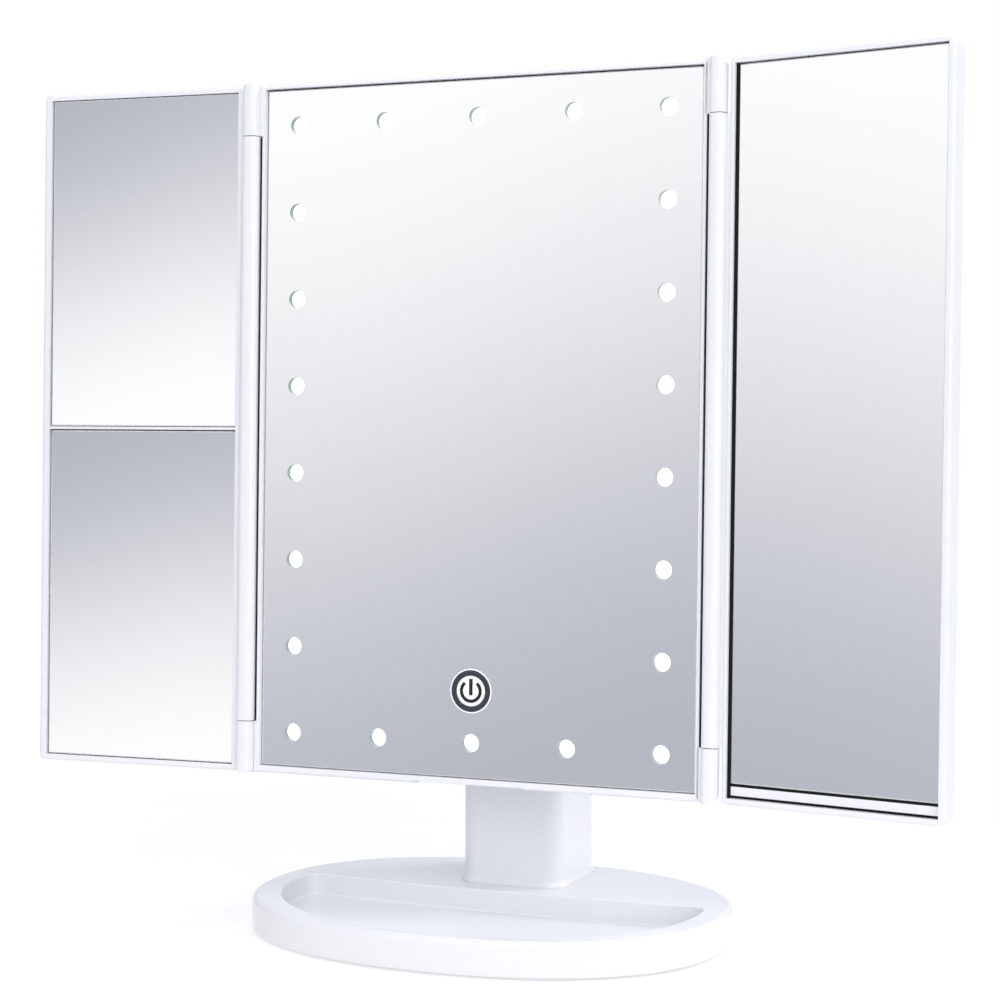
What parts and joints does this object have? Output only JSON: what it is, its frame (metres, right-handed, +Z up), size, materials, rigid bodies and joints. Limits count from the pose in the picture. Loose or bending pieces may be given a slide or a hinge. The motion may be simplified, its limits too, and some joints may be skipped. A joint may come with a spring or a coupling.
{
  "type": "vanity mirror",
  "caption": "Free-standing folding vanity mirror: tilting lit centre panel with touch key, a magnifying wing, a plain wing, a square column and an oval tray base.",
  "frame": {"origin": "centre of the base footprint on the table surface, at the underside of the anti-slip pad", "axes": "+X to the user's right, -Y towards the user, +Z up"},
  "size_m": [0.332, 0.1258, 0.2938],
  "materials": {
    "white_gloss": "gloss",
    "white_satin": "satin",
    "mirror": "polished",
    "lamp_diffuser": "translucent",
    "dark_gloss": "gloss",
    "plated_steel": "plated",
    "bare_steel": "rolled",
    "contact_metal": "nickel plated",
    "washer_brass": "satin",
    "dark_rubber": "matte",
    "dark_foam": "matte",
    "dark_plastic": "matte",
    "cell_can": "satin",
    "green_board": "solder mask",
    "white_board": "solder mask",
    "lead_insulation": "gloss"
  },
  "bodies": {
    "stand": {"base_shell": "white_gloss", "base_bottom_cover": "white_satin", "base_ballast_plate": "bare_steel", "anti_slip_pad": "dark_rubber", "base_cover_screws": "plated_steel", "column_shell": "white_gloss", "column_screws": "plated_steel", "column_cap_neck": "white_gloss", "neck_screws": "plated_steel", "battery_holder": "dark_plastic", "battery_cells": "cell_can", "battery_contact_plates": "contact_metal", "battery_contact_springs": "contact_metal", "usb_socket": "contact_metal", "usb_board": "green_board", "column_leads": "lead_insulation", "tilt_shaft": "plated_steel", "tilt_friction_washers": "washer_brass", "tilt_lock_nuts": "plated_steel"},
    "head": {"centre_frame": "white_gloss", "centre_rear_cover": "white_satin", "rear_cover_screws": "plated_steel", "centre_mirror": "mirror", "mirror_tape": "dark_foam", "lamp_lenses": "lamp_diffuser", "lamp_leds": "lamp_diffuser", "lamp_board": "white_board", "touch_key": "dark_gloss", "touch_board": "green_board", "control_board": "green_board", "control_components": "dark_plastic", "head_leads": "lead_insulation", "hinge_pins": "plated_steel"},
    "left_wing": {"left_wing_frame": "white_gloss", "left_wing_back": "white_satin", "upper_magnifying_mirror": "mirror", "lower_magnifying_mirror": "mirror", "left_mirror_pads": "dark_foam"},
    "right_wing": {"right_wing_frame": "white_gloss", "right_wing_back": "white_satin", "right_mirror": "mirror", "right_mirror_gasket": "dark_foam", "right_mirror_spacer": "white_satin"},
    "door": {"battery_door": "white_gloss"}
  },
  "joints": [
    {"name": "head_tilt", "type": "hinge", "parent": "stand", "child": "head", "pos_m": [0, 0.009, 0.101], "axis": [-1, 0, 0], "range_deg": [-25, 85]},
    {"name": "left_wing_hinge", "type": "hinge", "parent": "head", "child": "left_wing", "pos_m": [-0.0847, -0.01849, 0.10188], "axis": [0, 0.0321, 0.9995], "range_deg": [-3.4, 176.6]},
    {"name": "right_wing_hinge", "type": "hinge", "parent": "head", "child": "right_wing", "pos_m": [0.0847, -0.01849, 0.10188], "axis": [0, -0.0321, -0.9995], "range_deg": [-11.8, 168.2]},
    {"name": "battery_door_slide", "type": "slide", "parent": "stand", "child": "door", "axis": [0, 0, 1], "range_m": [0, 0.012]}
  ]
}
